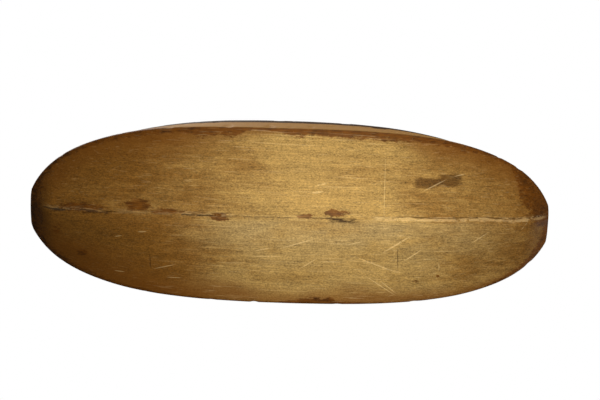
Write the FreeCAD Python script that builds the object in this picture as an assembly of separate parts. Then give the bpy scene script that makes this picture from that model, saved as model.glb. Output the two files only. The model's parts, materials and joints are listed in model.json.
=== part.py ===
import FreeCAD, Part
import math
import os

# A two-row mancala board hewn from one block of wood, with its seeds lying in the houses.
# Millimetres.  +X runs along the board and +Z is up, with the houses open upwards.
# The origin is the middle of the board's footprint, on the surface it stands on.

# Driving dimensions of the block
LENGTH = 540.0
WIDTH = 186.0
HEIGHT = 58.0
OUTLINE_REACH = 275.0        # where the curved sides would meet if the ends weren't cut off
OUTLINE_POWER = 3.25
OUTLINE_BOW = 3.6            # the ends stand this far to one side of the middle
BEVEL_LENGTH = 20.0          # each end is pared away underneath over this length
BEVEL_DEPTH = 24.0           # wood left at the very end, under the playing face
END_LEAN = 6.0               # the end faces lean in by this much from foot to top

# The hewn underside
KEEL_DEPTH_MID = 58.8        # slightly more than HEIGHT, so that wear leaves a flat land
KEEL_DEPTH_END = 40.0
KEEL_POWER = 2.4
KEEL_OFFSET = -2.9           # the keel lies a little to one side of the middle
KEEL_SKEW = -0.0055          # and runs a little askew along the board
LAND_WIDTH = 22.0            # flat strip beside the keel, narrowing towards the ends
LAND_WIDTH_END = 2.0

# The side wall: upright and deepest at mid-length, shallower and leaning in at the ends
WALL_DEPTH_MID = 44.0
WALL_DEPTH_END = 22.0
WALL_LEAN_END = 13.0

# Houses and stores
HOUSES_PER_ROW = 6
HOUSE_PITCH = 60.0
ROW_OFFSET = 35.0
HOUSE_RADIUS = 26.0
HOUSE_FLOOR_RADIUS = 7.5
HOUSE_DEPTH = 22.0
STORE_CENTRE = 214.0
STORE_HALF_LENGTH = 28.0
STORE_HALF_WIDTH = 36.0
STORE_DEPTH = 20.0

# Seeds
SEEDS_PER_HOUSE = 4
SEED_RADIUS = 7.6
SEED_RING_RADIUS = 11.05     # leaves 0.4 mm between neighbours
SEED_GAP = 1.0               # under a seed's lowest point, so its flank clears the curved wall
HANDFUL_TURN = 37.0          # degrees from one house's seeds to the next house's

STATION_STEP = 25.0
SPARE = 2.0                  # wood above the playing face, before it is trimmed flat


def half_width(x):
    """Half the board's width at the foot of the side wall, x from mid-length."""
    return WIDTH / 2 * math.sqrt(1 - (abs(x) / OUTLINE_REACH) ** OUTLINE_POWER)


def bow(x):
    """How far the middle of the outline stands to one side at x."""
    return OUTLINE_BOW * (2 * abs(x) / LENGTH) ** 3


def keel_depth(x):
    """Depth of the keel under the playing face, before the ends are pared away."""
    fall = (abs(x) / OUTLINE_REACH) ** KEEL_POWER
    return KEEL_DEPTH_MID - (KEEL_DEPTH_MID - KEEL_DEPTH_END) * fall


def pared_depth(x):
    """Depth of the keel on the end bevel, a straight line from the keel to the end."""
    start = LENGTH / 2 - BEVEL_LENGTH
    share = (abs(x) - start) / BEVEL_LENGTH
    return keel_depth(start) + (BEVEL_DEPTH - keel_depth(start)) * share


def wall_lean(x):
    """How far the side wall leans in between its foot and the playing face."""
    return WALL_LEAN_END * (2 * x / LENGTH) ** 2


def wall_depth(x):
    """Depth of the side wall under the playing face."""
    return WALL_DEPTH_MID - (WALL_DEPTH_MID - WALL_DEPTH_END) * (2 * x / LENGTH) ** 2


def land_width(x):
    """Width of the flat strip beside the keel."""
    return LAND_WIDTH_END + (LAND_WIDTH - LAND_WIDTH_END) * (1 - (x / OUTLINE_REACH) ** 2)


def section(x, depth):
    """The block's six-sided cross-section at x, with its keel at the given depth."""
    half = half_width(x)
    top = half - wall_lean(x) * (1 + SPARE / wall_depth(x))
    foot = HEIGHT - wall_depth(x)
    keel_y = KEEL_OFFSET + KEEL_SKEW * x
    corners = [
        (bow(x) - top, HEIGHT + SPARE),
        (bow(x) - half, foot),
        (keel_y, HEIGHT - depth),
        (keel_y + land_width(x), HEIGHT - depth),
        (bow(x) + half, foot),
        (bow(x) + top, HEIGHT + SPARE),
    ]
    points = [FreeCAD.Vector(x, y, z) for y, z in corners]
    return Part.makePolygon(points + points[:1])


def trimmer():
    """A prism that trims the land and the playing face flat and leans the end faces in."""
    end = LENGTH / 2
    foot = HEIGHT - WALL_DEPTH_END
    corners = [
        (-end, 0),
        (end, 0),
        (end, foot),
        (end - END_LEAN, HEIGHT),
        (END_LEAN - end, HEIGHT),
        (-end, foot),
    ]
    points = [FreeCAD.Vector(x, -WIDTH, z) for x, z in corners]
    profile = Part.Face(Part.makePolygon(points + points[:1]))
    return profile.extrude(FreeCAD.Vector(0, 2 * WIDTH, 0))


def body():
    """The hewn block: a long middle and two ends that are pared away underneath."""
    start = LENGTH / 2 - BEVEL_LENGTH
    count = int(round(2 * start / STATION_STEP))
    stations = [-start + 2 * start * i / count for i in range(count + 1)]
    block = Part.makeLoft([section(x, keel_depth(x)) for x in stations], True)
    for side in (-1, 1):
        near = [side * (start + BEVEL_LENGTH * share) for share in (0.0, 0.4, 0.75, 1.0)]
        end = Part.makeLoft([section(x, pared_depth(x)) for x in sorted(near)], True)
        block = block.fuse(end)
    return block.common(trimmer()).removeSplitter()


def house_cutter():
    """A round bowl about the Z axis: a small flat floor and a wall curved like a cup."""
    run = HOUSE_RADIUS - HOUSE_FLOOR_RADIUS
    curve = (run ** 2 + HOUSE_DEPTH ** 2) / (2 * HOUSE_DEPTH)
    floor_z = HEIGHT - HOUSE_DEPTH
    sweep = math.acos((curve - HOUSE_DEPTH) / curve)
    middle = FreeCAD.Vector(
        HOUSE_FLOOR_RADIUS + curve * math.sin(sweep / 2),
        0,
        floor_z + curve - curve * math.cos(sweep / 2),
    )
    axis_low = FreeCAD.Vector(0, 0, floor_z)
    floor_edge = FreeCAD.Vector(HOUSE_FLOOR_RADIUS, 0, floor_z)
    rim = FreeCAD.Vector(HOUSE_RADIUS, 0, HEIGHT)
    rim_up = FreeCAD.Vector(HOUSE_RADIUS, 0, HEIGHT + 1)
    axis_high = FreeCAD.Vector(0, 0, HEIGHT + 1)
    profile = Part.Wire([
        Part.makeLine(axis_low, floor_edge),
        Part.Arc(floor_edge, middle, rim).toShape(),
        Part.makeLine(rim, rim_up),
        Part.makeLine(rim_up, axis_high),
        Part.makeLine(axis_high, axis_low),
    ])
    return Part.Face(profile).revolve(FreeCAD.Vector(0, 0, 0), FreeCAD.Vector(0, 0, 1), 360)


def store_cutter(side):
    """A half-ellipsoid bowl for the store at one end of the board."""
    stretch = FreeCAD.Matrix()
    stretch.scale(STORE_HALF_LENGTH, STORE_HALF_WIDTH, STORE_DEPTH)
    bowl = Part.makeSphere(1.0).transformGeometry(stretch)
    return bowl.translated(FreeCAD.Vector(side * STORE_CENTRE, 0, HEIGHT))


def house_centres():
    """Centres of the houses as (row, number, x, y): the near row first, from left to right."""
    middle = (HOUSES_PER_ROW - 1) / 2
    centres = []
    for row, side in (("near", -1), ("far", 1)):
        for i in range(HOUSES_PER_ROW):
            centres.append((row, i + 1, (i - middle) * HOUSE_PITCH, side * ROW_OFFSET))
    return centres


def board():
    """The whole board as one solid, with its houses and stores hollowed out."""
    solid = body()
    bowl = house_cutter()
    for row, number, x, y in house_centres():
        solid = solid.cut(bowl.translated(FreeCAD.Vector(x, y, 0)))
    for side in (-1, 1):
        solid = solid.cut(store_cutter(side))
    return solid


def handful(x, y, turn):
    """The seeds of one house: a ring of separate solids lying just clear of the bowl."""
    z = HEIGHT - HOUSE_DEPTH + SEED_GAP + SEED_RADIUS
    seeds = []
    for i in range(SEEDS_PER_HOUSE):
        angle = math.radians(turn + 360 * i / SEEDS_PER_HOUSE)
        place = FreeCAD.Vector(
            x + SEED_RING_RADIUS * math.cos(angle),
            y + SEED_RING_RADIUS * math.sin(angle),
            z,
        )
        seeds.append(Part.makeSphere(SEED_RADIUS, place))
    return Part.makeCompound(seeds)


def main():
    os.makedirs("parts", exist_ok=True)
    board().exportStep("parts/board.step")
    for index, (row, number, x, y) in enumerate(house_centres()):
        seeds = handful(x, y, HANDFUL_TURN * index)
        seeds.exportStep(f"parts/seeds_{row}_house_{number}.step")


main()
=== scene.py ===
import json
import math

import bmesh
import bpy
import numpy as np
from bpy.props import FloatProperty, FloatVectorProperty, IntProperty, PointerProperty
from mathutils import Matrix, Vector, noise


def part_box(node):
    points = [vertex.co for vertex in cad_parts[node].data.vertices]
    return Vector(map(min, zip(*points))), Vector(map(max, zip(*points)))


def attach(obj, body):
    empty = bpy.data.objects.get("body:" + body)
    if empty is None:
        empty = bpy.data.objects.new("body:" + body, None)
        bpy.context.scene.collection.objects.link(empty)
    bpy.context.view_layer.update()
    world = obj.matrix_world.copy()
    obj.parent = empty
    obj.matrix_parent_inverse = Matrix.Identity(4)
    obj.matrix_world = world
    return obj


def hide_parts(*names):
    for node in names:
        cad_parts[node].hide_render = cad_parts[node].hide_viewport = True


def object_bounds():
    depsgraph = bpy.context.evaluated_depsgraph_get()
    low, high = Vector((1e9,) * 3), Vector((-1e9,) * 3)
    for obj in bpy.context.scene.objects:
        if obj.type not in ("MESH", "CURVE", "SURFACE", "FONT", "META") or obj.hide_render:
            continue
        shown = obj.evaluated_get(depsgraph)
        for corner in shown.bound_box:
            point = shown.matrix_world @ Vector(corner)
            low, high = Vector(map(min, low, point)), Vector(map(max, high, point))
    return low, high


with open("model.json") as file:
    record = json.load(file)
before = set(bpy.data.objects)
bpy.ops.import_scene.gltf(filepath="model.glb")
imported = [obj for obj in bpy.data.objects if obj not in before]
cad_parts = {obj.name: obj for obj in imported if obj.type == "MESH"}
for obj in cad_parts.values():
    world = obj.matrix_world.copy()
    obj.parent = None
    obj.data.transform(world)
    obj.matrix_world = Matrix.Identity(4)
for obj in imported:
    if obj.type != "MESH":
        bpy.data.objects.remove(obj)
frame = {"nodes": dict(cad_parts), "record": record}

bl_info = {
    "name": "Hewn Mancala Board",
    "version": (1, 0, 0),
    "blender": (4, 5, 0),
    "location": "3D View > Sidebar > Mancala",
    "description": "A boat-shaped mancala board hewn from one block, with seeds in its houses",
    "category": "Object",
}

CAD_BOX = [list(corner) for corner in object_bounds()]
CAD_LOW, CAD_HIGH = (Vector(corner) for corner in CAD_BOX)
CAD_SIZE = CAD_HIGH - CAD_LOW
BOARD = "board"
SEED_NODES = sorted(name for name in frame["nodes"] if name.startswith("seeds_"))
SEEDS_PER_HOUSE = 4
MM = 0.001
OUTLINE_POWER = 3.25         # how suddenly the outline's sides turn in towards the ends
KEEL_POWER = 2.4             # how suddenly the keel rises towards the ends


# ---------------------------------------------------------------- settings

def length_setting(name, description, default, low=0.0):
    """A length in metres that a user can change."""
    return FloatProperty(
        name=name, description=description, default=default, min=low, unit="LENGTH", precision=4
    )


def colour_setting(name, description, default):
    """A linear colour that a user can change."""
    return FloatVectorProperty(
        name=name, description=description, default=default, size=3, min=0, max=1, subtype="COLOR"
    )


class MancalaBoardSizes(bpy.types.PropertyGroup):
    """Sizes of the hewn block."""

    length: length_setting("Length", "Board from end to end", CAD_SIZE.x)
    width: length_setting("Width", "Board at mid-length", CAD_SIZE.y)
    height: length_setting("Height", "Land to playing face", CAD_SIZE.z)
    outline_reach: length_setting("Outline reach", "Where the curved sides would meet", 0.275)
    bow: length_setting("Outline bow", "How far the ends stand to one side", 0.0036)
    corner: length_setting("End corner", "Rounding of the end face in plan", 0.0015)
    bevel: length_setting("End bevel", "Length pared away under each end", 0.020)
    bevel_depth: length_setting("End depth", "Wood left at the very end", 0.024)
    bevel_softness: length_setting("Bevel softness", "Rounding where a bevel starts", 0.006)
    end_lean: length_setting("End lean", "How far the end faces lean in", 0.006)
    keel_mid: length_setting("Keel depth, middle", "Keel below the playing face", 0.0588)
    keel_end: length_setting("Keel depth, ends", "Keel below the playing face", 0.040)
    keel_offset: FloatProperty(
        name="Keel offset", description="Keel to one side of the middle", default=-0.0029,
        unit="LENGTH", precision=4,
    )
    keel_skew: FloatProperty(
        name="Keel skew", description="Sideways run of the keel per length", default=-0.0055
    )
    land: length_setting("Land width", "Flat strip beside the keel at mid-length", 0.022)
    land_end: length_setting("Land width, ends", "The strip where it runs out", 0.002)
    wall_mid: length_setting("Wall depth, middle", "Side wall at mid-length", 0.044)
    wall_end: length_setting("Wall depth, ends", "Side wall at the ends", 0.022)
    wall_lean: length_setting("Wall lean", "How far the wall leans in at the ends", 0.013)
    house_floor: length_setting("House floor", "Radius of a house's flat floor", 0.0075)
    house_radius: length_setting("House radius", "Radius of a house at its mouth", 0.026)
    house_depth: length_setting("House depth", "Depth of a house", 0.022)
    store_centre: length_setting("Store centre", "Store from mid-length", 0.214)
    store_length: length_setting("Store half-length", "Along the board", 0.028)
    store_width: length_setting("Store half-width", "Across the board", 0.036)
    store_depth: length_setting("Store depth", "Depth of a store", 0.020)
    lip: length_setting("Lip", "Rounding of the mouths of houses and stores", 0.0022)


class MancalaWoodLooks(bpy.types.PropertyGroup):
    """Colours of the wood."""

    # These two wood colours are blended by the pale mask: wear, with a painted pool of light in the
    # middle of the underside and painted shade towards the ends and on the lower-left facet.
    aged_and_shaded: colour_setting(
        "Aged wood", "Brown wood that hands and time have darkened", (0.215, 0.092, 0.0125)
    )
    worn_and_lit: colour_setting(
        "Worn wood", "Pale wood where the finish is rubbed away", (0.41, 0.252, 0.071)
    )
    # Grey wood below the keel: frayed wood beside the keel, and a painted sheen over the lower
    # facet.
    greyed_and_sheen: colour_setting("Greyed wood", "Dry wood beside the keel", (0.36, 0.248, 0.098))
    # Patina also colours the painted shade along the edges, at the ends, on the wall and in the
    # houses.
    patina: colour_setting(
        "Patina", "Old reddish finish that wear has spared", (0.182, 0.059, 0.004)
    )
    # Deep patina also colours the painted shade round the left end.
    deep_patina: colour_setting("Deep patina", "Its darkest, dirtiest parts", (0.030, 0.010, 0.002))
    wall: colour_setting("Side wall", "Smooth clean wood of the side wall", (0.40, 0.205, 0.054))
    scratch: colour_setting("Scratches", "Fresh wood in knife scratches", (0.66, 0.49, 0.24))


class MancalaSeedLooks(bpy.types.PropertyGroup):
    """Shape and colours of the seeds."""

    rings: IntProperty(name="Rings", description="Rings of the seed's mesh", default=18, min=8)
    shrink: FloatProperty(
        name="Fit", description="Size of a seed against the space it has", default=0.985
    )
    pale: colour_setting("Pale shell", "Lighter part of the shell", (0.40, 0.40, 0.33))
    dark: colour_setting("Dark shell", "Darker part of the shell", (0.15, 0.155, 0.125))
    scar: colour_setting("Scar", "Where the seed grew from its pod", (0.055, 0.035, 0.02))


class MancalaStageLooks(bpy.types.PropertyGroup):
    """The room round the board."""

    floor_size: length_setting("Floor", "Side of the floor", 6.0)
    floor_colour: colour_setting("Floor colour", "Plain pale floor", (0.80, 0.80, 0.79))
    lens: FloatProperty(name="Lens", description="Focal length in millimetres", default=85.0)
    tilt: FloatProperty(
        name="Tilt", description="Camera's lean from straight under the board",
        default=math.radians(13.0), subtype="ANGLE",
    )
    roll: FloatProperty(
        name="Roll", description="Camera's turn about its own axis",
        default=math.radians(1.8), subtype="ANGLE",
    )
    frame_width: length_setting("Frame width", "Width the picture takes in", 0.6175)
    aim_right: length_setting("Aim right", "Camera's aim, right of the board's middle", 0.0112)
    aim_up: length_setting("Aim up", "Camera's aim, above the board's middle", 0.0177)


# ------------------------------------------------------- the board's shape

def half_width(s, x):
    """Half the board's width at the foot of the side wall."""
    share = np.clip(np.abs(x) / s.outline_reach, 0, 1)
    return s.width / 2 * np.sqrt(1 - share ** OUTLINE_POWER)


def bow(s, x):
    """Where the middle of the outline runs across the board."""
    return s.bow * np.abs(2 * x / s.length) ** 3


def keel_line(s, x):
    """Where the keel runs across the board."""
    return s.keel_offset + s.keel_skew * x


def keel_height(s, x):
    """Height of the keel, which rises towards the ends and then up the softened end bevels."""
    start = s.length / 2 - s.bevel
    rise = s.keel_mid - s.keel_end
    depth_at_start = s.keel_mid - rise * (start / s.outline_reach) ** KEEL_POWER
    total = 0
    shifts = np.linspace(-s.bevel_softness, s.bevel_softness, 9)
    for shift in shifts:
        near = np.abs(x) + shift
        depth = s.keel_mid - rise * (np.abs(near) / s.outline_reach) ** KEEL_POWER
        share = (near - start) / s.bevel
        pared = depth_at_start + (s.bevel_depth - depth_at_start) * share
        total = total + np.where(share > 0, pared, depth) / len(shifts)
    return s.height - total


def along(s, x):
    """0 at mid-length and 1 at either end, squared."""
    return (2 * x / s.length) ** 2


def wall_foot(s, x):
    """Height of the side wall's foot."""
    return s.height - s.wall_mid + (s.wall_mid - s.wall_end) * along(s, x)


def land_width(s, x):
    """Width of the flat strip beside the keel."""
    return s.land_end + (s.land - s.land_end) * (1 - (x / s.outline_reach) ** 2)


def stations(s):
    """Where the board's cross-sections stand: evenly along the middle, closer on the bevels."""
    start = s.length / 2 - s.bevel
    middle = np.linspace(-start, start, 401)
    bevel = start + s.bevel * np.linspace(0, 1, 13)[1:] ** 0.8
    return np.concatenate([-bevel[::-1], middle, bevel])


def section_corners(s, x):
    """The six corners (y, z) of every cross-section, from the near rim down and round."""
    half = half_width(s, x)
    top = half - s.wall_lean * along(s, x)
    foot = wall_foot(s, x)
    keel = keel_line(s, x)
    low = keel_height(s, x)
    high = np.full_like(x, s.height)
    middle = bow(s, x)
    corners = [
        (middle - top, high), (middle - half, foot), (keel, low),
        (keel + land_width(s, x), low), (middle + half, foot), (middle + top, high),
    ]
    return np.stack([np.stack(c, axis=-1) for c in corners], axis=1)


# For each corner of a cross-section in turn, from the near rim: how far its rounding reaches, and
# the points along the corner and along the side that follows it.
CORNER_ROUNDING = (2.4 * MM, 3.4 * MM, 2.6 * MM, 7.0 * MM, 4.2 * MM, 2.4 * MM)
CORNER_POINTS = (4, 5, 5, 4, 5, 4)
SIDE_POINTS = (10, 46, 7, 46, 10, 22)


def rounded_rings(corners):
    """Rings of (y, z) points with rounded corners, one ring for each cross-section."""
    count = corners.shape[1]
    starts, ends, pieces = [], [], []
    for i in range(count):
        here = corners[:, i]
        back = corners[:, i - 1] - here
        on = corners[:, (i + 1) % count] - here
        back_length = np.linalg.norm(back, axis=1, keepdims=True)
        on_length = np.linalg.norm(on, axis=1, keepdims=True)
        back_reach = np.minimum(CORNER_ROUNDING[i], 0.35 * back_length)
        on_reach = np.minimum(CORNER_ROUNDING[i], 0.35 * on_length)
        starts.append(here + back / back_length * back_reach)
        ends.append(here + on / on_length * on_reach)
    for i in range(count):
        for t in np.linspace(0, 1, CORNER_POINTS[i]):
            pieces.append(
                (1 - t) ** 2 * starts[i] + 2 * t * (1 - t) * corners[:, i] + t ** 2 * ends[i]
            )
        following = starts[(i + 1) % count]
        for t in np.linspace(0, 1, SIDE_POINTS[i] + 2)[1:-1]:
            pieces.append(ends[i] + (following - ends[i]) * t)
    return np.stack(pieces, axis=1)


def block_mesh(s):
    """The smooth block, before tools and wear: rings of points joined into one closed skin."""
    x = stations(s)
    rings = rounded_rings(section_corners(s, x))
    points = np.zeros(rings.shape[:2] + (3,))
    points[:, :, 1:] = rings
    rise = np.clip((rings[:, :, 1] - wall_foot(s, x)[:, None]) / s.wall_end, 0, 1)
    points[:, :, 0] = x[:, None] * (1 - 2 * s.end_lean / s.length * rise)
    across = np.abs(rings[:, :, 0] - bow(s, x)[:, None]) / half_width(s, x)[:, None]
    near_end = smooth_step(np.abs(x), s.length / 2 - 2 * s.bevel, s.length / 2)[:, None]
    points[:, :, 0] -= np.sign(x)[:, None] * s.corner * near_end * np.clip(across, 0, 1) ** 4
    rows, ring = points.shape[:2]
    index = np.arange(rows * ring).reshape(rows, ring)
    following = np.roll(index, -1, axis=1)
    quads = np.stack([index[:-1], following[:-1], following[1:], index[1:]], axis=-1)
    mesh = bpy.data.meshes.new("hewn_block")
    faces = quads.reshape(-1, 4).tolist()
    faces.append(index[0].tolist())
    faces.append(index[-1][::-1].tolist())
    mesh.from_pydata(points.reshape(-1, 3).tolist(), [], faces)
    build = bmesh.new()
    build.from_mesh(mesh)
    caps = [f for f in build.faces if len(f.verts) > 4]
    bmesh.ops.triangulate(build, faces=caps, ngon_method="BEAUTY")
    bmesh.ops.recalc_face_normals(build, faces=build.faces)
    build.to_mesh(mesh)
    build.free()
    return mesh


# ------------------------------------------------------------ tools and wear

def smooth_step(value, low, high):
    """0 below low, 1 above high and a smooth rise between."""
    share = np.clip((value - low) / (high - low), 0, 1)
    return share * share * (3 - 2 * share)


def noise_field(points, scale, seed):
    """Smooth noise between about -1 and 1, with a different size of cell along each axis."""
    shifted = points / np.array(scale) + np.array([17.3, 5.1, 9.7]) * seed
    return np.array([noise.noise(Vector(p)) for p in shifted])


def get_points(mesh):
    """The mesh's points and normals as arrays."""
    count = len(mesh.vertices)
    points = np.empty(count * 3)
    normals = np.empty(count * 3)
    mesh.vertices.foreach_get("co", points)
    mesh.vertices.foreach_get("normal", normals)
    return points.reshape(-1, 3), normals.reshape(-1, 3)


def wear_block(s, mesh):
    """Moves the block's skin as the adze, the grain, cracks, knocks and rubbing have."""
    points, normals = get_points(mesh)
    x, y, z = points.T
    under = smooth_step(-normals[:, 2], 0.3, 0.8)
    side = smooth_step(1 - np.abs(normals[:, 2]), 0.4, 0.8)
    from_keel = y - keel_line(s, x)
    hewn = 0.55 * noise_field(points, (0.085, 0.030, 0.030), 1)
    hewn += 0.16 * noise_field(points, (0.022, 0.009, 0.012), 2)
    fibres = 0.10 * noise_field(points, (0.030, 0.0024, 0.0024), 3)
    lengthways = np.stack([x, x * 0, x * 0], 1)
    crack_here = smooth_step(noise_field(lengthways, (0.045, 1, 1), 4), -0.1, 0.25)
    wander = 0.0007 * noise_field(lengthways, (0.012, 1, 1), 5)
    crack = np.exp(-((from_keel - wander) / 0.0009) ** 2) * crack_here
    ragged = noise_field(points, (0.009, 0.0016, 0.0016), 6)
    splinter = np.exp(-(from_keel / 0.0035) ** 2) * np.clip(ragged, -0.6, 0.6)
    foot_gap = half_width(s, x) - np.abs(y - bow(s, x))
    knocks = smooth_step(noise_field(points, (0.014, 0.012, 0.012), 7), 0.32, 0.6)
    edge = np.exp(-(foot_gap / 0.005) ** 2) * np.maximum(under, side)
    move = hewn * np.maximum(under, 0.6 * side) + fibres * under
    move = move - 1.1 * crack * under + 0.45 * splinter * under - 1.0 * knocks * edge
    points = points + normals * (move * MM)[:, None]
    points[:, 2] = np.clip(points[:, 2], 0.0002, s.height + 0.0002)
    mesh.vertices.foreach_set("co", points.ravel())
    mesh.update()


def bowl_mesh(profile, centre, stretch=1.0, around=64, seed=0):
    """A closed cutter: a profile of (radius, z) pairs turned round centre, gouged a little."""
    build = bmesh.new()
    middle = Vector((centre[0], centre[1], 0))
    rings = []
    for radius, z in profile[1:-1]:
        ring = []
        for i in range(around):
            a = 2 * math.pi * i / around
            way = Vector((math.cos(a), math.sin(a) * stretch, 0))
            gouge = noise.noise(Vector((a * 1.3 + 7 * seed, z * 130, seed * 3.1)))
            gouge += 0.5 * noise.noise(Vector((math.cos(a) * 3, math.sin(a) * 3, z * 260 + seed)))
            grow = 1 + 0.012 * (1 + gouge)
            ring.append(build.verts.new(middle + way * radius * grow + Vector((0, 0, z))))
        rings.append(ring)
    bottom = build.verts.new(middle + Vector((0, 0, profile[0][1])))
    top = build.verts.new(middle + Vector((0, 0, profile[-1][1])))
    for i in range(around):
        j = (i + 1) % around
        build.faces.new((bottom, rings[0][j], rings[0][i]))
        build.faces.new((top, rings[-1][i], rings[-1][j]))
        for low, high in zip(rings, rings[1:]):
            build.faces.new((low[i], low[j], high[j], high[i]))
    bmesh.ops.recalc_face_normals(build, faces=build.faces)
    mesh = bpy.data.meshes.new("bowl_cutter")
    build.to_mesh(mesh)
    build.free()
    return mesh


def lip_profile(s, radius):
    """The rounded mouth of a bowl, and the way out above it."""
    points = []
    for a in np.radians([12, 26, 40, 54, 66]):
        points.append((radius + s.lip * (1 - math.cos(a)), s.height - s.lip * (1 - math.sin(a))))
    edge = points[-1][0] + 0.0012
    return points + [(edge, s.height + 0.0006), (edge, s.height + 0.006), (0, s.height + 0.006)]


def house_profile(s):
    """A house from its floor's centre to its mouth."""
    run = s.house_radius - s.house_floor
    curve = (run ** 2 + s.house_depth ** 2) / (2 * s.house_depth)
    floor_z = s.height - s.house_depth
    sweep = math.acos((curve - s.house_depth + s.lip) / curve)
    points = [(0, floor_z), (s.house_floor * 0.5, floor_z)]
    for a in np.linspace(0, sweep, 13):
        points.append((s.house_floor + curve * math.sin(a), floor_z + curve * (1 - math.cos(a))))
    return points + lip_profile(s, points[-1][0])


def store_profile(s):
    """A store across its short way, from its floor's centre to its mouth."""
    points = []
    last = math.acos(s.lip / s.store_depth)
    for a in np.linspace(0, last, 16):
        points.append((s.store_length * math.sin(a), s.height - s.store_depth * math.cos(a)))
    return points + lip_profile(s, points[-1][0])


def house_centres():
    """The middle of each house, from the seeds that lie in it."""
    centres = []
    for name in SEED_NODES:
        low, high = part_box(name)
        centres.append((Vector(low) + Vector(high)) / 2)
    return centres


def joined(name, meshes):
    """One object holding all the meshes."""
    build = bmesh.new()
    for mesh in meshes:
        build.from_mesh(mesh)
    whole = bpy.data.meshes.new(name)
    build.to_mesh(whole)
    build.free()
    piece = bpy.data.objects.new(name, whole)
    bpy.context.scene.collection.objects.link(piece)
    return piece


def hollow_out(s, piece):
    """Cuts the houses and stores into the block."""
    cutters = [
        bowl_mesh(house_profile(s), centre, seed=i + 1) for i, centre in enumerate(house_centres())
    ]
    for side in (-1, 1):
        centre = (side * s.store_centre, 0)
        stretch = s.store_width / s.store_length
        cutters.append(bowl_mesh(store_profile(s), centre, stretch, 80, 20 + side))
    tool = joined("bowl_cutters", cutters)
    cut = piece.modifiers.new("hollow", "BOOLEAN")
    cut.operation = "DIFFERENCE"
    cut.solver = "EXACT"
    cut.object = tool
    graph = bpy.context.evaluated_depsgraph_get()
    carved = bpy.data.meshes.new_from_object(piece.evaluated_get(graph))
    piece.modifiers.clear()
    piece.data = carved
    bpy.data.objects.remove(tool)


# ------------------------------------------- where finish, wear, painted light and painted shade show

# How far the old finish reaches in from the edge: place along the board and reach, in millimetres.
NEAR_FINISH = [
    (-270, 6), (-235, 5), (-205, 6), (-150, 7), (-110, 6), (-92, 10), (-56, 10), (-47, 4),
    (-14, 4), (-4, 9), (60, 9), (108, 9), (120, 7), (180, 7), (196, 4), (226, 4), (232, 12),
    (238, 28), (254, 34), (270, 34),
]
FAR_FINISH = [
    (-270, 8), (-225, 9), (-190, 6), (-150, 5), (-60, 2), (-10, 2), (25, 8), (42, 10), (60, 4),
    (110, 2), (200, 2), (222, 5), (245, 8), (255, 12), (270, 16),
]
# How far the darkening in the patina's colour reaches in from the edge: part old finish, part
# painted shade where the rounded edge turns from the lamp.
FAR_SHADE = [(-270, 28), (-200, 32), (-80, 22), (10, 12), (60, 19), (110, 15), (200, 7), (270, 5)]
NEAR_SHADE = [
    (-270, 26), (-120, 28), (-60, 12), (0, 4), (100, 8), (130, 14), (190, 20), (240, 20), (270, 14),
]
# Each patch: along, across, half-length, half-width in millimetres, and strength.
# Old finish that is left, dirt on it, a reddish smear, and places the wear has spared.
FINISH_PATCHES = [
    (-154, -10, 18, 7, 0.88), (-126, -5, 21, 4, 0.85), (-71, -1, 12, 4.5, 0.95),
    (17, -5, 13, 3.5, 0.78), (46, -9, 18, 5, 0.80), (134, 64, 8, 3, 0.55), (-214, 46, 9, 4, 0.8),
    (-213, -4.5, 30, 6.5, 0.85), (156, 58, 2, 1.5, 1.0), (-240, 22, 9, 12, 0.6),
]
DARK_PATCHES = [
    (46, -3.0, 16, 2.4, 0.8), (56, -1.0, 20, 2.6, 0.88), (-76, 1, 12, 1.6, 0.6),
    (-200, -0.5, 22, 1.7, 0.85), (-236, -1, 14, 2.0, 0.9), (-216, 47, 9, 3, 0.6),
    (34, 86, 14, 3, 0.7),
]
SMEARS = [(138, -41, 10, 5, 1.15), (151, -42, 12, 5, 0.85), (164, -44, 11, 6, 1.15)]
DULL_PATCHES = [
    (-108, 46, 34, 14, 1.0), (-50, -55, 30, 16, 0.9), (78, -48, 26, 18, 1.0), (50, 3, 50, 8, 0.75),
    (-45, 27, 34, 22, 0.9), (-8, 62, 50, 12, 0.6), (-228, -2, 20, 10, 0.8), (45, 84, 40, 8, 0.8),
    (118, -34, 16, 14, 0.9),
]
# Where the keel is cracked and where it is splintered pale: from, to and strength.
CRACKS = [(-256, -184, 0.95), (-184, -118, 0.25), (-116, -76, 1.0), (-60, 6, 0.65), (12, 70, 0.7)]
SPLINTERS = [
    (-252, -190, 0.5), (-178, -120, 0.4), (-114, -56, 0.9), (-50, 24, 0.35), (88, 264, 1.5),
]


def reach(x, profile):
    """A value in millimetres read off a profile along the board."""
    return np.interp(x / MM, *np.transpose(profile))


def band(gap, width):
    """1 at the edge, a half where the band ends and 0 well inside it."""
    return np.clip(1 - 0.5 * gap / width, 0, 1)


def patches(x, y, rows, squareness=2):
    """Soft ovals: full strength at the middle of a patch and half of it at the patch's rim."""
    total = np.zeros_like(x)
    for px, py, length, width, strength in rows:
        far_along = np.abs((x / MM - px) / length) ** squareness
        far_across = np.abs((y / MM - py) / width) ** squareness
        far = (far_along + far_across) ** (1 / squareness)
        total = np.maximum(total, strength * np.clip(1.1 - 0.6 * far, 0, 1))
    return total


def spans(x, rows):
    """Stretches along the board with soft ends."""
    total = np.zeros_like(x)
    for start, end, strength in rows:
        begun = smooth_step(x / MM, start - 6, start + 6)
        over = smooth_step(x / MM, end - 6, end + 6)
        total = np.maximum(total, strength * (begun * (1 - over)))
    return total


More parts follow.
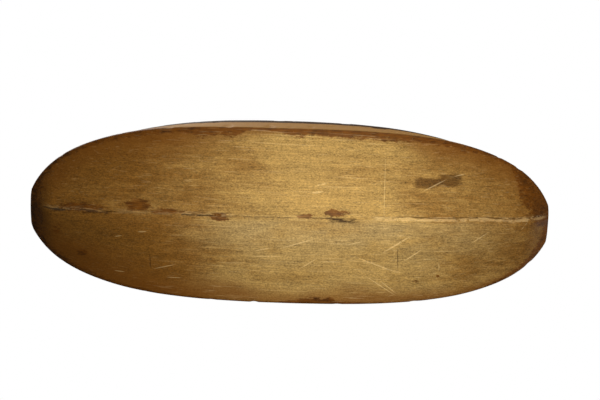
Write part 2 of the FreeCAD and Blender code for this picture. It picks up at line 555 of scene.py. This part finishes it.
def bowl_masks(s, x, y, z):
    """How far a point lies inside a house or store, and how near it is to a mouth's lip."""
    inside = np.zeros_like(x)
    lip = np.zeros_like(x)
    far_outs = [np.hypot(x - c.x, y - c.y) / s.house_radius for c in house_centres()]
    for side in (-1, 1):
        far_outs.append(np.hypot((x - side * s.store_centre) / s.store_length, y / s.store_width))
    for far_out in far_outs:
        inside = np.maximum(inside, 1 - smooth_step(far_out, 0.95, 1.02))
        lip = np.maximum(lip, np.exp(-((far_out - 1.04) / 0.07) ** 2))
    inside *= smooth_step(z, s.height * 0.5, s.height * 0.6)
    return inside, lip * smooth_step(z, s.height - 0.004, s.height - 0.002)


def paint_masks(s, mesh):
    """Stores, for the wood's material, how much of each finish every point has kept, and where
    painted light and painted shade fall.
    """
    points, normals = get_points(mesh)
    x, y, z = points.T
    under = smooth_step(-normals[:, 2], 0.25, 0.6)
    inside, lip = bowl_masks(s, x, y, z)
    inside *= 1 - under
    top = smooth_step(normals[:, 2], 0.5, 0.8) * (1 - inside)
    wall = (1 - under) * (1 - top) * (1 - inside)
    side_on = y - bow(s, x)
    slope = (half_width(s, x + MM) - half_width(s, x - MM)) / (2 * MM)
    gap = np.clip((half_width(s, x) - np.abs(side_on)) / np.sqrt(1 + slope ** 2), 0, 1) / MM
    end_gap = np.clip(s.length / 2 - np.abs(x), 0, 1) / MM
    outer_gap = -6 * np.log(np.exp(-gap / 6) + np.exp(-end_gap / 6) + 1e-12)
    from_top = (s.height - z) / MM

    finish = np.where(side_on < 0, reach(x, NEAR_FINISH), reach(x, FAR_FINISH))
    shade = np.where(side_on < 0, reach(x, NEAR_SHADE), reach(x, FAR_SHADE))
    # A darker band round the left end, along its outline: part dirt and patina, part painted shade
    # where the light falls off to the left.
    left_end_dirt_and_shade = smooth_step(-x, 0.19, 0.235) * band(np.clip(outer_gap, 0, 99), 13)
    # Darker towards either end, more at the left: part old finish, part painted shade where the
    # light falls off.
    ends = np.where(x < 0, band(end_gap, 14), band(end_gap, 6))
    under_finish = np.maximum.reduce([band(gap, finish), ends, patches(x, y, FINISH_PATCHES)])
    # The side wall turns darker and redder towards the ends: part old finish, part painted shade
    # where the wall turns from the lamp.
    far_along = np.maximum(smooth_step(-x, 0.095, 0.175), smooth_step(x, 0.150, 0.205))
    wall_finish = np.maximum(band(from_top, 4.0), 0.75 * far_along)
    top_finish = np.clip(0.38 + 0.42 * band(gap, 8.0) - 0.4 * lip, 0, 1)
    bowl_finish = 0.50 + 0.3 * smooth_step(from_top, 6, 20) - 0.5 * lip

    below_keel = smooth_step(y - keel_line(s, x), -0.002, 0.006)
    # Pale mask: rubbed wood in the middle of the underside and a painted pool of light round 45 mm
    # right of the middle; its fall towards the ends, steeper to the left, is part darker old wood
    # and part painted shade.
    spread = np.where(x < 0.045, 0.105 + 0.02 * below_keel, 0.055 + 0.055 * below_keel)
    pale = np.exp(-(np.maximum(np.abs(x - 0.045) - 0.045, 0) / spread) ** 2)
    pale = np.maximum(pale, (0.34 + 0.16 * below_keel) * np.exp(-((x - 0.17) / 0.08) ** 2))
    # Painted shade: the lower facet left of the middle is made darker, as it faces away from the
    # lamp.
    pale = pale - 0.34 * below_keel * smooth_step(-x, 0.04, 0.13)
    pale = pale - 0.32 * patches(x, y, DULL_PATCHES)
    # Greyer below the keel: frayed wood beside it, and a painted sheen over the lower facet.
    along_grey = smooth_step(x, -0.13, -0.02) * (1 - 0.9 * smooth_step(x, 0.15, 0.23))
    near_keel = np.exp(-((y - keel_line(s, x) - 0.014) / 0.026) ** 2)
    # Painted shade, blended towards the patina's colour: along the outline, round the ends, down
    # the side wall towards the ends, and deeper in the houses and stores.
    under_shade = np.maximum(band(gap, shade), 0.9 * ends)
    bowl_shade = 0.6 * smooth_step(from_top, 4, 20)
    # Dark patches of dirt, and the left end's band, which is partly painted shade.
    under_dirt_and_shade = np.maximum(patches(x, y, DARK_PATCHES), 0.68 * left_end_dirt_and_shade)
    # The side wall is darker along its top, towards the rim.
    rim_darkening = 1.4 * smooth_step(-from_top, -17, -11)
    masks = {
        "under": under,
        "finish": under * under_finish + wall * wall_finish
        + top * top_finish + inside * bowl_finish,
        # Painted shade, with some old finish along the outline.
        "shade": under * under_shade + inside * bowl_shade + 0.9 * wall * far_along,
        "dirt_and_shade": under * under_dirt_and_shade + wall * rim_darkening,
        "smear": under * patches(x, y, SMEARS, squareness=5),
        "wall": wall * (1 - far_along),
        # On the underside this holds painted light and painted shade besides wear; elsewhere it is
        # rubbed pale at the lips.
        "pale": under * pale + (1 - under) * (0.45 + 0.6 * lip),
        "greyed_and_sheen": under * below_keel * along_grey * (0.35 + 0.65 * near_keel),
        "crack": under * spans(x, CRACKS),
        "splinter": under * spans(x, SPLINTERS),
        "keel": (y - keel_line(s, x)) / MM,
    }
    for name, values in masks.items():
        layer = mesh.attributes.new(name, "FLOAT", "POINT")
        layer.data.foreach_set("value", values.astype(np.float32))


# ---------------------------------------------------------------- materials

def add_node(tree, kind, *values, **settings):
    """Adds a shader node. Values go to its inputs in order: a socket is linked, None is left."""
    made = tree.nodes.new(kind)
    for name, setting in settings.items():
        setattr(made, name, setting)
    for socket, value in zip(made.inputs, values):
        if isinstance(value, bpy.types.NodeSocket):
            tree.links.new(value, socket)
        elif value is not None:
            socket.default_value = value
    return made


def maths(tree, operation, *values, clamp=False):
    """The output of a Math node."""
    made = add_node(tree, "ShaderNodeMath", *values, operation=operation, use_clamp=clamp)
    return made.outputs[0]


def sway(tree, value, amount, base):
    """The base, raised and lowered by a noise value that is a half on average."""
    return maths(tree, "MULTIPLY_ADD", maths(tree, "SUBTRACT", value, 0.5), amount, base)


def vector_maths(tree, operation, *values):
    """The vector output of a Vector Math node."""
    return add_node(tree, "ShaderNodeVectorMath", *values, operation=operation).outputs[0]


def ramp(tree, value, low, high):
    """0 below low, 1 above high, smooth between."""
    return add_node(
        tree, "ShaderNodeMapRange", value, low, high, 0.0, 1.0, interpolation_type="SMOOTHSTEP"
    ).outputs[0]


def colour(value):
    """A colour with full alpha."""
    return (*value, 1.0)


def new_material(name):
    """A material with an empty node tree."""
    material = bpy.data.materials.new(name)
    material.use_nodes = True
    material.node_tree.nodes.clear()
    return material


def blend_colour(tree, factor, below, above, blend="MIX"):
    """The two colours mixed."""
    mix = tree.nodes.new("ShaderNodeMix")
    mix.data_type = "RGBA"
    mix.blend_type = blend
    for socket, value in zip((mix.inputs[0], mix.inputs[6], mix.inputs[7]), (factor, below, above)):
        if isinstance(value, bpy.types.NodeSocket):
            tree.links.new(value, socket)
        else:
            socket.default_value = value
    return mix.outputs[2]


def in_millimetres(tree):
    """A point's place on its piece, in millimetres."""
    position = tree.nodes.new("ShaderNodeTexCoord").outputs["Object"]
    return vector_maths(tree, "MULTIPLY", position, (1000.0, 1000.0, 1000.0))


def noise_value(tree, place, stretch, detail=4.0, roughness=0.55, turn=0.0, distortion=0.0):
    """Noise whose cells are stretched: stretch holds cells per millimetre along each axis."""
    mapping = add_node(tree, "ShaderNodeMapping", place, vector_type="TEXTURE")
    mapping.inputs["Rotation"].default_value = (0, 0, turn)
    mapping.inputs["Scale"].default_value = tuple(1 / v for v in stretch)
    texture = add_node(tree, "ShaderNodeTexNoise", mapping.outputs[0])
    texture.inputs["Scale"].default_value = 1.0
    texture.inputs["Detail"].default_value = detail
    texture.inputs["Roughness"].default_value = roughness
    texture.inputs["Distortion"].default_value = distortion
    return texture.outputs["Fac"]


def surface(tree, base, rough, height, strength, distance):
    """Ends a material in a shader with the given colour, roughness and bump, and returns it."""
    bump = add_node(tree, "ShaderNodeBump")
    bump.inputs["Strength"].default_value = strength
    bump.inputs["Distance"].default_value = distance
    tree.links.new(height, bump.inputs["Height"])
    shader = tree.nodes.new("ShaderNodeBsdfPrincipled")
    tree.links.new(base, shader.inputs["Base Color"])
    tree.links.new(rough, shader.inputs["Roughness"])
    tree.links.new(bump.outputs[0], shader.inputs["Normal"])
    output = tree.nodes.new("ShaderNodeOutputMaterial")
    tree.links.new(shader.outputs[0], output.inputs["Surface"])
    return shader


def mask(tree, name):
    """The value of one of the masks that a piece's mesh carries."""
    reader = tree.nodes.new("ShaderNodeAttribute")
    reader.attribute_name = name
    return reader.outputs["Fac"]


# Long knife scratches on the underside: start and end in millimetres, and half-width.
LONG_SCRATCHES = [
    ((-36, 34), (-14, 29), 0.5), ((-14, 32), (34, 16), 0.6), ((-44, 40), (0, 39), 0.4),
    ((28, 44), (62, 43), 0.5), ((57, 25), (79, 19), 0.5), ((66, 36), (118, 56), 0.7),
    ((77, 56), (118, 84), 0.6), ((93, 35), (129, 10), 1.0), ((116, 44), (141, 25), 0.7),
    ((132, -31), (163, -47), 0.7), ((166, -48), (180, -51), 0.7), ((186, 22), (208, 6), 0.6),
    ((189, 13), (203, 17), 0.5), ((238, 7), (246, -4), 0.5), ((94, 62), (116, 80), 0.6),
    ((144, 30), (179, 29), 0.4), ((156, 41), (157, 54), 0.5), ((96, -80), (97, 18), 0.35),
    ((-156, 18), (-144, 17), 0.8), ((-180, 25), (-170, 23), 0.6), ((-142, 60), (-113, 52), 0.6),
    ((-182, 64), (-168, 65), 0.6), ((-128, 68), (-107, 68), 0.5), ((10, 54), (33, 38), 0.5),
    ((20, -28), (36, -31), 1.2), ((25, -36), (39, -39), 0.9),
]
DARK_NICKS = [((-143, 40), (-142, 62), 0.6), ((112, 22), (114, 54), 0.55)]
# Short fine scratches that lie one way: their turn, cells per millimetre, and how few there are.
FINE_SCRATCHES = [
    (0.015, (0.012, 0.75, 0.75), 0.61), (-0.42, (0.024, 0.9, 0.9), 0.70),
    (0.50, (0.024, 0.9, 0.9), 0.70), (1.54, (0.022, 0.8, 0.8), 0.70),
]
SMEAR_TINT = (0.46, 0.40, 0.33)


def scratches(tree, flat, rows):
    """The strongest at each point of several straight scratches, each a very slender oval."""
    total = None
    for start, end, width in rows:
        run = Vector(end) - Vector(start)
        middle = (Vector(start) + Vector(end)) / 2
        mapping = add_node(tree, "ShaderNodeMapping", flat, vector_type="TEXTURE")
        mapping.inputs["Location"].default_value = (*middle, 0)
        mapping.inputs["Rotation"].default_value = (0, 0, math.atan2(run.y, run.x))
        mapping.inputs["Scale"].default_value = (run.length / 2, 1.25 * width, 1)
        oval = add_node(tree, "ShaderNodeTexGradient", mapping.outputs[0])
        oval.gradient_type = "SPHERICAL"
        value = oval.outputs["Fac"]
        total = value if total is None else maths(tree, "MAXIMUM", total, value)
    return ramp(tree, total, 0.05, 0.55)


def keel_marks(tree, place):
    """The crack along the keel, and the pale splinters beside it."""
    keel = mask(tree, "keel")
    wander = noise_value(tree, place, (0.045, 0.01, 0.01), 4, 0.65)
    line = sway(tree, wander, 4.0, keel)
    strands = noise_value(tree, place, (0.05, 0.75, 0.75), 3, 0.65)
    breaks = noise_value(tree, place, (0.11, 0.05, 0.05), 3, 0.6)
    near = ramp(tree, maths(tree, "ABSOLUTE", line), 1.2, 0.3)
    crack = maths(tree, "MULTIPLY", near, mask(tree, "crack"))
    crack = maths(tree, "MULTIPLY", crack, ramp(tree, breaks, 0.36, 0.50))
    beside = ramp(tree, maths(tree, "ABSOLUTE", maths(tree, "ADD", line, 1.4)), 3.6, 0.6)
    pale = maths(tree, "MULTIPLY", beside, ramp(tree, strands, 0.46, 0.60))
    core = ramp(tree, maths(tree, "ABSOLUTE", maths(tree, "ADD", line, 0.6)), 1.8, 0.6)
    core = maths(tree, "MULTIPLY", core, ramp(tree, breaks, 0.38, 0.54))
    pale = maths(tree, "MULTIPLY", maths(tree, "MAXIMUM", pale, core), mask(tree, "splinter"))
    seam = ramp(tree, maths(tree, "ABSOLUTE", maths(tree, "ADD", line, 2.9)), 1.3, 0.2)
    seam = maths(tree, "MULTIPLY", seam, ramp(tree, strands, 0.66, 0.44))
    seam = maths(tree, "MULTIPLY", seam, mask(tree, "splinter"))
    return crack, pale, seam


def bare_wood(tree, place, looks, fibres, mottle, clouds, speckle):
    """The wood's colour, from old brown to rubbed pale, streaked along the grain; the pale mask
    that blends them holds painted light and painted shade as well as wear.
    """
    streaks = noise_value(tree, place, (0.012, 0.16, 0.16), 5, 0.6, distortion=0.3)
    # The pale mask brings painted light and painted shade into the tone as well as wear.
    tone = sway(tree, streaks, 0.75, mask(tree, "pale"))
    tone = sway(tree, clouds, 0.9, tone)
    tone = sway(tree, mottle, 0.75, tone)
    wood = blend_colour(tree, ramp(tree, tone, -0.15, 1.10), colour(looks.aged_and_shaded), colour(looks.worn_and_lit))
    # Grey below the keel: frayed wood with a painted sheen.
    frayed_and_sheen = maths(tree, "MULTIPLY", mask(tree, "greyed_and_sheen"), ramp(tree, clouds, 0.25, 0.6))
    wood = blend_colour(tree, maths(tree, "MULTIPLY", frayed_and_sheen, 0.75), wood, colour(looks.greyed_and_sheen))
    wood = blend_colour(tree, mask(tree, "wall"), wood, colour(looks.wall))
    grain = sway(tree, fibres, 1.15, 1.0)
    grain = sway(tree, mottle, 0.75, grain)
    grain = sway(tree, speckle, 2.5, grain)
    grain = sway(tree, streaks, 0.5, grain)
    calm = maths(tree, "MULTIPLY_ADD", mask(tree, "wall"), -0.75, 1.0)
    grain = maths(tree, "MULTIPLY_ADD", maths(tree, "SUBTRACT", grain, 1.0), calm, 1.0)
    return vector_maths(tree, "MULTIPLY", wood, grain)


def wood_material(looks):
    """Hewn, rubbed and scratched wood with an old reddish finish left in places, and painted light
    and painted shade in its colour.
    """
    material = new_material("worn_board_wood")
    tree = material.node_tree
    place = in_millimetres(tree)
    flat = vector_maths(tree, "MULTIPLY", place, (1.0, 1.0, 0.0))
    under = mask(tree, "under")
    fibres = noise_value(tree, place, (0.040, 0.85, 0.85), 4, 0.7)
    mottle = noise_value(tree, place, (0.085, 0.15, 0.15), 6, 0.75)
    clouds = noise_value(tree, place, (0.016, 0.034, 0.034), 3, 0.55)
    ragged = noise_value(tree, place, (0.13, 0.27, 0.27), 6, 0.75)
    speckle = noise_value(tree, place, (0.48, 0.80, 0.80), 3, 0.8)
    wood = bare_wood(tree, place, looks, fibres, mottle, clouds, speckle)

    # Painted shade in the patina's colour, over some real old finish along the outline.
    shade = sway(tree, clouds, 0.8, mask(tree, "shade"))
    shade = sway(tree, mottle, 0.5, shade)
    shade = maths(tree, "MULTIPLY", ramp(tree, shade, 0.15, 0.95), 0.75)
    wood = blend_colour(tree, shade, wood, colour(looks.patina))

    wobble = maths(tree, "SUBTRACT", ragged, 0.5)
    kept = maths(tree, "MULTIPLY_ADD", wobble, 1.25, mask(tree, "finish"))
    film = ramp(tree, kept, 0.46, 0.66)
    body = maths(tree, "MULTIPLY_ADD", fibres, 0.6, maths(tree, "MULTIPLY", mottle, 0.6))
    body = ramp(tree, body, 0.38, 0.72)
    varnish = blend_colour(tree, body, colour(looks.deep_patina), colour(looks.patina))
    wood = blend_colour(tree, maths(tree, "MULTIPLY", film, 0.92), wood, varnish)
    smear = ramp(tree, maths(tree, "MULTIPLY_ADD", wobble, 0.9, mask(tree, "smear")), 0.40, 0.72)
    wood = blend_colour(tree, smear, wood, colour(SMEAR_TINT), "MULTIPLY")
    # Dirt patches in the deep patina's colour, with the left end's band that is partly painted
    # shade, and the side wall darker towards its rim.
    dirt_and_shade = ramp(tree, maths(tree, "MULTIPLY_ADD", wobble, 1.5, mask(tree, "dirt_and_shade")), 0.40, 0.90)
    wood = blend_colour(tree, maths(tree, "MULTIPLY", dirt_and_shade, 0.94), wood, colour(looks.deep_patina))

    crack, splinters, seam = keel_marks(tree, place)
    broken = ramp(tree, noise_value(tree, place, (0.20, 0.20, 0.20), 3), 0.25, 0.45)
    long_cuts = maths(tree, "MULTIPLY", scratches(tree, flat, LONG_SCRATCHES), under)
    long_cuts = maths(tree, "MULTIPLY", long_cuts, broken)
    fine = None
    for turn, stretch, low in FINE_SCRATCHES:
        layer = ramp(tree, noise_value(tree, place, stretch, 2, 0.5, turn), low, low + 0.07)
        fine = layer if fine is None else maths(tree, "MAXIMUM", fine, layer)
    clear = maths(tree, "MULTIPLY", mask(tree, "pale"), under)
    clear = maths(tree, "MULTIPLY_ADD", clear, 0.34, 0.22)
    fine = maths(tree, "MULTIPLY", fine, clear)
    cuts = maths(tree, "MAXIMUM", maths(tree, "MULTIPLY", long_cuts, 0.95), fine)
    pale = maths(tree, "MAXIMUM", cuts, splinters, clamp=True)
    bright = tuple(0.42 * c for c in looks.scratch)
    fresh = vector_maths(tree, "MULTIPLY_ADD", wood, (0.9, 0.9, 0.9), bright)
    wood = blend_colour(tree, pale, wood, fresh)
    nicks = maths(tree, "MULTIPLY", scratches(tree, flat, DARK_NICKS), under)
    nicks = maths(tree, "MULTIPLY", nicks, 0.7)
    pores = ramp(tree, noise_value(tree, place, (0.07, 1.3, 1.3), 2, 0.5), 0.66, 0.76)
    dark = maths(tree, "MAXIMUM", nicks, maths(tree, "MULTIPLY", pores, 0.35))
    open_keel = maths(tree, "MAXIMUM", crack, maths(tree, "MULTIPLY", seam, 0.5))
    dark = maths(tree, "MAXIMUM", dark, open_keel)
    wood = blend_colour(tree, maths(tree, "MULTIPLY", dark, 0.8), wood, colour(looks.deep_patina))

    rough = maths(tree, "MULTIPLY_ADD", fibres, 0.25, 0.48)
    rough = maths(tree, "MULTIPLY_ADD", film, -0.10, rough)
    height = maths(tree, "MULTIPLY_ADD", fibres, 0.5, maths(tree, "MULTIPLY", mottle, 0.4))
    height = maths(tree, "MULTIPLY_ADD", pale, -0.5, height)
    height = maths(tree, "MULTIPLY_ADD", dark, -1.2, height)
    height = maths(tree, "MULTIPLY_ADD", film, 0.3, height)
    shader = surface(tree, wood, rough, height, 0.6, 0.0005)
    shader.inputs["Specular IOR Level"].default_value = 0.12
    return material


def seed_material(looks):
    """Hard grey-green shell with fine rings, faint mottling and a dark scar."""
    material = new_material("seed_shell")
    tree = material.node_tree
    place = in_millimetres(tree)
    mottle = noise_value(tree, place, (0.16, 0.16, 0.16), 5, 0.6)
    wave = maths(tree, "MULTIPLY", mottle, 5.0)
    wave = maths(tree, "MULTIPLY_ADD", mask(tree, "ring"), 46.0, wave)
    rings = ramp(tree, maths(tree, "SINE", wave), 0.35, 0.95)
    tone = maths(tree, "MULTIPLY", mottle, 0.8)
    tone = maths(tree, "MULTIPLY_ADD", mask(tree, "shade"), 0.5, tone)
    tone = ramp(tree, tone, 0.35, 0.85)
    shell = blend_colour(tree, tone, colour(looks.dark), colour(looks.pale))
    shell = blend_colour(tree, maths(tree, "MULTIPLY", rings, 0.28), shell, colour(looks.dark))
    shell = blend_colour(tree, ramp(tree, mask(tree, "scar"), 0.45, 0.7), shell, colour(looks.scar))
    rough = maths(tree, "MULTIPLY_ADD", mottle, 0.16, 0.20)
    height = maths(tree, "MULTIPLY_ADD", rings, -0.6, mottle)
    shader = surface(tree, shell, rough, height, 0.35, 0.0002)
    shader.inputs["Specular IOR Level"].default_value = 0.5
    shader.inputs["Coat Weight"].default_value = 0.25
    shader.inputs["Coat Roughness"].default_value = 0.12
    return material


# -------------------------------------------------------------------- seeds

def seed_shell(build, layers, rings, size, place, turn, number):
    """Adds one seed to the mesh being built: an uneven ball with a small scar at one pole."""
    tint = 0.5 + 0.5 * noise.noise(Vector((number * 1.7, 3.3, 0.4)))
    rows = []
    for i in range(rings + 1):
        polar = math.pi * i / rings
        row = []
        around = 1 if i in (0, rings) else 2 * rings
        for j in range(around):
            a = 2 * math.pi * j / around
            out = math.sin(polar)
            way = Vector((out * math.cos(a), out * math.sin(a), math.cos(polar)))
            swell = 1 - 0.035 * (0.5 + 0.5 * noise.noise(way * 1.6 + Vector((number * 2.3, 0, 0))))
            dimple = 0.05 * math.exp(-(polar / 0.28) ** 2)
            turned = turn @ (way * (swell - dimple))
            vert = build.verts.new(place + Vector(t * half for t, half in zip(turned, size)))
            vert[layers["ring"]] = polar / math.pi
            vert[layers["shade"]] = tint
            vert[layers["scar"]] = math.exp(-(polar / 0.24) ** 2)
            row.append(vert)
        rows.append(row)
    for upper, lower in zip(rows, rows[1:]):
        count = max(len(upper), len(lower))
        for j in range(count):
            k = (j + 1) % count
            if len(upper) == 1:
                build.faces.new((upper[0], lower[j], lower[k]))
            elif len(lower) == 1:
                build.faces.new((upper[j], lower[0], upper[k]))
            else:
                build.faces.new((upper[j], lower[j], lower[k], upper[k]))


def seed_places(name):
    """The middle and half-size of each seed in a node, from the islands of its CAD mesh."""
    mesh = frame["nodes"][name].data
    build = bmesh.new()
    build.from_mesh(mesh)
    bmesh.ops.remove_doubles(build, verts=build.verts, dist=1e-6)
    left = set(build.verts)
    places = []
    while left:
        island = [left.pop()]
        for vert in island:
            for edge in vert.link_edges:
                other = edge.other_vert(vert)
                if other in left:
                    left.remove(other)
                    island.append(other)
        low = Vector(min(v.co[i] for v in island) for i in range(3))
        high = Vector(max(v.co[i] for v in island) for i in range(3))
        places.append(((low + high) / 2, (high - low) / 2))
    build.free()
    return sorted(places, key=lambda p: tuple(round(c, 5) for c in p[0]))


def seed_handful(name, looks, material, first):
    """All the seeds of one house as one piece."""
    build = bmesh.new()
    layers = {key: build.verts.layers.float.new(key) for key in ("ring", "shade", "scar")}
    for i, (middle, half) in enumerate(seed_places(name)):
        number = first + i
        roll = 6.3 * noise.noise(Vector((number * 0.77, 0.2, 5.1)))
        tip = 1.2 + 1.1 * noise.noise(Vector((0.3, number * 0.91, 2.2)))
        turn = Matrix.Rotation(roll, 3, "Z") @ Matrix.Rotation(tip, 3, "X")
        size = Vector(half) * looks.shrink
        seed_shell(build, layers, looks.rings, size, middle, turn, number)
    bmesh.ops.recalc_face_normals(build, faces=build.faces)
    mesh = bpy.data.meshes.new(name + "_shells")
    build.to_mesh(mesh)
    build.free()
    for face in mesh.polygons:
        face.use_smooth = True
    mesh.materials.append(material)
    piece = bpy.data.objects.new(name + "_shells", mesh)
    bpy.context.scene.collection.objects.link(piece)
    return piece


# ---------------------------------------------------------------- operators

def body_holding(node):
    """The CAD body that a node belongs to."""
    for body, nodes in frame["record"]["behaviour"]["bodies"].items():
        if node in nodes:
            return body
    raise RuntimeError(f"no body holds {node}")


class MANCALA_OT_board(bpy.types.Operator):
    """Hew the board from its block, hollow it out and finish its wood"""

    bl_idname = "mancala.board"
    bl_label = "Board"

    def execute(self, context):
        sizes = context.scene.mancala_sizes
        mesh = block_mesh(sizes)
        wear_block(sizes, mesh)
        piece = bpy.data.objects.new("hewn_board", mesh)
        context.scene.collection.objects.link(piece)
        hollow_out(sizes, piece)
        carved = piece.data
        for face in carved.polygons:
            face.use_smooth = True
        carved.set_sharp_from_angle(angle=math.radians(42))
        paint_masks(sizes, carved)
        carved.materials.clear()
        carved.materials.append(wood_material(context.scene.mancala_wood))
        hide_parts(BOARD)
        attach(piece, body_holding(BOARD))
        return {"FINISHED"}


class MANCALA_OT_seeds(bpy.types.Operator):
    """Lay a handful of seeds in every house"""

    bl_idname = "mancala.seeds"
    bl_label = "Seeds"

    def execute(self, context):
        looks = context.scene.mancala_seeds
        material = seed_material(looks)
        for index, name in enumerate(SEED_NODES):
            piece = seed_handful(name, looks, material, SEEDS_PER_HOUSE * index)
            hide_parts(name)
            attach(piece, body_holding(name))
        return {"FINISHED"}


def floor_material(looks):
    """Plain pale floor, seen from above only."""
    material = new_material("pale_floor")
    tree = material.node_tree
    shader = tree.nodes.new("ShaderNodeBsdfPrincipled")
    shader.inputs["Base Color"].default_value = colour(looks.floor_colour)
    shader.inputs["Roughness"].default_value = 0.9
    clear = tree.nodes.new("ShaderNodeBsdfTransparent")
    behind = tree.nodes.new("ShaderNodeNewGeometry").outputs["Backfacing"]
    mix = add_node(tree, "ShaderNodeMixShader", behind, shader.outputs[0], clear.outputs[0])
    output = tree.nodes.new("ShaderNodeOutputMaterial")
    tree.links.new(mix.outputs[0], output.inputs["Surface"])
    return material


def add_light(name, place, target, size, watts, tint=(1.0, 1.0, 1.0)):
    """A soft square lamp that faces a target."""
    lamp = bpy.data.lights.new(name, "AREA")
    lamp.shape = "SQUARE"
    lamp.size = size
    lamp.energy = watts
    lamp.color = tint
    holder = bpy.data.objects.new(name, lamp)
    holder.location = place
    holder.rotation_euler = (Vector(target) - Vector(place)).to_track_quat("-Z", "Y").to_euler()
    bpy.context.scene.collection.objects.link(holder)


def add_camera(looks):
    """A camera under the board that looks up at its underside, leaning towards the near side."""
    data = bpy.data.cameras.new("under_view")
    data.lens = looks.lens
    data.sensor_width = 36.0
    lean = looks.tilt
    back = Vector((0, -math.sin(lean), -math.cos(lean)))
    up = Vector((0, -math.cos(lean), math.sin(lean)))
    right = Vector((1, 0, 0))
    turn = Matrix.Rotation(looks.roll, 3, back)
    up, right = turn @ up, turn @ right
    aim = Vector((0, 0, CAD_SIZE.z * 0.25)) + right * looks.aim_right + up * looks.aim_up
    place = aim + back * (looks.frame_width * looks.lens / data.sensor_width)
    holder = bpy.data.objects.new("under_view", data)
    axes = Matrix((right, up, back)).transposed().to_4x4()
    holder.matrix_world = Matrix.Translation(place) @ axes
    bpy.context.scene.collection.objects.link(holder)
    bpy.context.scene.camera = holder


def white_room():
    """An even, soft world that looks plain white."""
    world = bpy.data.worlds.new("white_room")
    bpy.context.scene.world = world
    world.use_nodes = True
    tree = world.node_tree
    tree.nodes.clear()
    seen = tree.nodes.new("ShaderNodeLightPath").outputs["Is Camera Ray"]
    strength = maths(tree, "MULTIPLY_ADD", seen, 0.88, 0.12)
    shade = add_node(tree, "ShaderNodeBackground", (1, 1, 1, 1), strength)
    output = tree.nodes.new("ShaderNodeOutputWorld")
    tree.links.new(shade.outputs[0], output.inputs["Surface"])


class MANCALA_OT_stage(bpy.types.Operator):
    """Set the board in a plain pale room with soft lamps and a camera"""

    bl_idname = "mancala.stage"
    bl_label = "Stage"

    def execute(self, context):
        looks = context.scene.mancala_stage
        half = looks.floor_size / 2
        mesh = bpy.data.meshes.new("floor")
        corners = [(-half, -half, 0), (half, -half, 0), (half, half, 0), (-half, half, 0)]
        mesh.from_pydata(corners, [], [(0, 1, 2, 3)])
        floor = bpy.data.objects.new("floor", mesh)
        mesh.materials.append(floor_material(looks))
        context.scene.collection.objects.link(floor)
        floor.visible_diffuse = False
        floor.visible_glossy = False
        floor.visible_shadow = False
        add_camera(looks)
        white_room()
        add_light(
            "under_lamp", (0.042, -0.018, -0.29), (0.042, -0.01, 0.02), 0.18, 0.90,
            (1.0, 0.97, 0.92),
        )
        add_light("side_lamp", (0.10, -1.0, -0.30), (0.03, 0, 0.03), 0.5, 4.6, (1.0, 0.97, 0.93))
        add_light("end_lamp", (0.75, 0.22, -0.30), (0.22, 0.03, 0.02), 0.4, 1.05, (1.0, 0.86, 0.68))
        add_light("over_lamp", (-0.9, -0.9, 1.5), (0, 0, 0.03), 1.2, 26.0, (1.0, 0.98, 0.95))
        add_light("over_fill", (1.3, 0.8, 1.2), (0, 0, 0.03), 1.4, 12.0)
        context.scene.view_settings.view_transform = "Standard"
        return {"FINISHED"}


class MANCALA_PT_panel(bpy.types.Panel):
    """Buttons and settings for the mancala board"""

    bl_idname = "MANCALA_PT_panel"
    bl_label = "Mancala Board"
    bl_space_type = "VIEW_3D"
    bl_region_type = "UI"
    bl_category = "Mancala"

    def draw(self, context):
        for maker in MAKERS:
            self.layout.operator(maker.bl_idname)
        for group in SETTINGS:
            box = self.layout.box()
            settings = getattr(context.scene, group)
            for name in settings.__annotations__:
                box.prop(settings, name)


MAKERS = (MANCALA_OT_stage, MANCALA_OT_board, MANCALA_OT_seeds)
SETTINGS = {
    "mancala_sizes": MancalaBoardSizes,
    "mancala_wood": MancalaWoodLooks,
    "mancala_seeds": MancalaSeedLooks,
    "mancala_stage": MancalaStageLooks,
}


def register():
    for group in SETTINGS.values():
        bpy.utils.register_class(group)
    for name, group in SETTINGS.items():
        setattr(bpy.types.Scene, name, PointerProperty(type=group))
    for kind in (*MAKERS, MANCALA_PT_panel):
        bpy.utils.register_class(kind)


def unregister():
    for kind in (MANCALA_PT_panel, *reversed(MAKERS)):
        bpy.utils.unregister_class(kind)
    for name, group in SETTINGS.items():
        delattr(bpy.types.Scene, name)
        bpy.utils.unregister_class(group)


def main():
    register()
    bpy.ops.mancala.stage()
    bpy.ops.mancala.board()
    bpy.ops.mancala.seeds()


if __name__ == "__main__":
    main()
